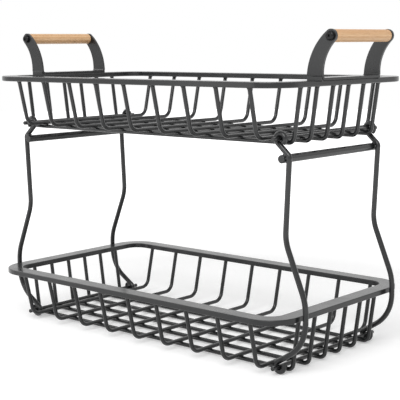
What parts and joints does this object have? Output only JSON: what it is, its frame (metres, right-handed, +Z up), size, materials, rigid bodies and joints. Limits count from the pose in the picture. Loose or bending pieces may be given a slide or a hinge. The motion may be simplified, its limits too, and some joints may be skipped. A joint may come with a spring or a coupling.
{
  "type": "tiered wire basket",
  "caption": "Two-tier wire basket rack with flat bar rims, bent wire side frames and wood-grip handles.",
  "frame": {"origin": "centre of the rack's footprint, on the ground under the leg eyes that serve as feet", "axes": "+X along the long side towards the right end, +Y towards the back, +Z up"},
  "size_m": [0.4428, 0.23, 0.3291],
  "materials": {
    "coated_steel": "satin charcoal powder coat",
    "grip_wood": "pale fine-grained wood with a matt clear coat",
    "screw_steel": "black oxide"
  },
  "bodies": {
    "lower_basket": {"lower_rim": "coated_steel", "lower_cross_wire_1": "coated_steel", "lower_cross_wire_2": "coated_steel", "lower_cross_wire_3": "coated_steel", "lower_cross_wire_4": "coated_steel", "lower_cross_wire_5": "coated_steel", "lower_cross_wire_6": "coated_steel", "lower_cross_wire_7": "coated_steel", "lower_cross_wire_8": "coated_steel", "lower_cross_wire_9": "coated_steel", "lower_long_wire_1": "coated_steel", "lower_long_wire_2": "coated_steel", "lower_long_wire_3": "coated_steel", "lower_long_wire_4": "coated_steel", "lower_long_wire_5": "coated_steel", "lower_long_wire_6": "coated_steel", "lower_left_hinge_rod": "coated_steel", "lower_right_hinge_rod": "coated_steel"},
    "left_frame": {"left_front_leg": "coated_steel", "left_back_leg": "coated_steel", "left_cross_bar": "coated_steel"},
    "right_frame": {"right_front_leg": "coated_steel", "right_back_leg": "coated_steel", "right_cross_bar": "coated_steel"},
    "upper_basket": {"upper_rim": "coated_steel", "upper_cross_wire_1": "coated_steel", "upper_cross_wire_2": "coated_steel", "upper_cross_wire_3": "coated_steel", "upper_cross_wire_4": "coated_steel", "upper_cross_wire_5": "coated_steel", "upper_cross_wire_6": "coated_steel", "upper_cross_wire_7": "coated_steel", "upper_cross_wire_8": "coated_steel", "upper_cross_wire_9": "coated_steel", "upper_long_wire_1": "coated_steel", "upper_long_wire_2": "coated_steel", "upper_long_wire_3": "coated_steel", "upper_long_wire_4": "coated_steel", "upper_long_wire_5": "coated_steel", "upper_long_wire_6": "coated_steel", "upper_left_hinge_rod": "coated_steel", "upper_right_hinge_rod": "coated_steel", "left_handle_bracket": "coated_steel", "left_grip": "grip_wood", "left_grip_screws": "screw_steel", "right_handle_bracket": "coated_steel", "right_grip": "grip_wood", "right_grip_screws": "screw_steel"}
  },
  "joints": [
    {"name": "left_frame_sway", "type": "hinge", "parent": "lower_basket", "child": "left_frame", "pos_m": [-0.178, 0, 0.00773], "axis": [0, 1, 0], "range_deg": [-2, 2]},
    {"name": "right_frame_sway", "type": "hinge", "parent": "lower_basket", "child": "right_frame", "pos_m": [0.178, 0, 0.00773], "axis": [0, 1, 0], "range_deg": [-2, 2]},
    {"name": "upper_basket_sway", "type": "hinge", "parent": "left_frame", "child": "upper_basket", "pos_m": [-0.178, 0, 0.22773], "axis": [0, 1, 0], "range_deg": [-2, 2]}
  ],
  "couplings": [
    {"joint": "right_frame_sway", "follows": "left_frame_sway", "ratio": 1},
    {"joint": "upper_basket_sway", "follows": "left_frame_sway", "ratio": -1}
  ]
}
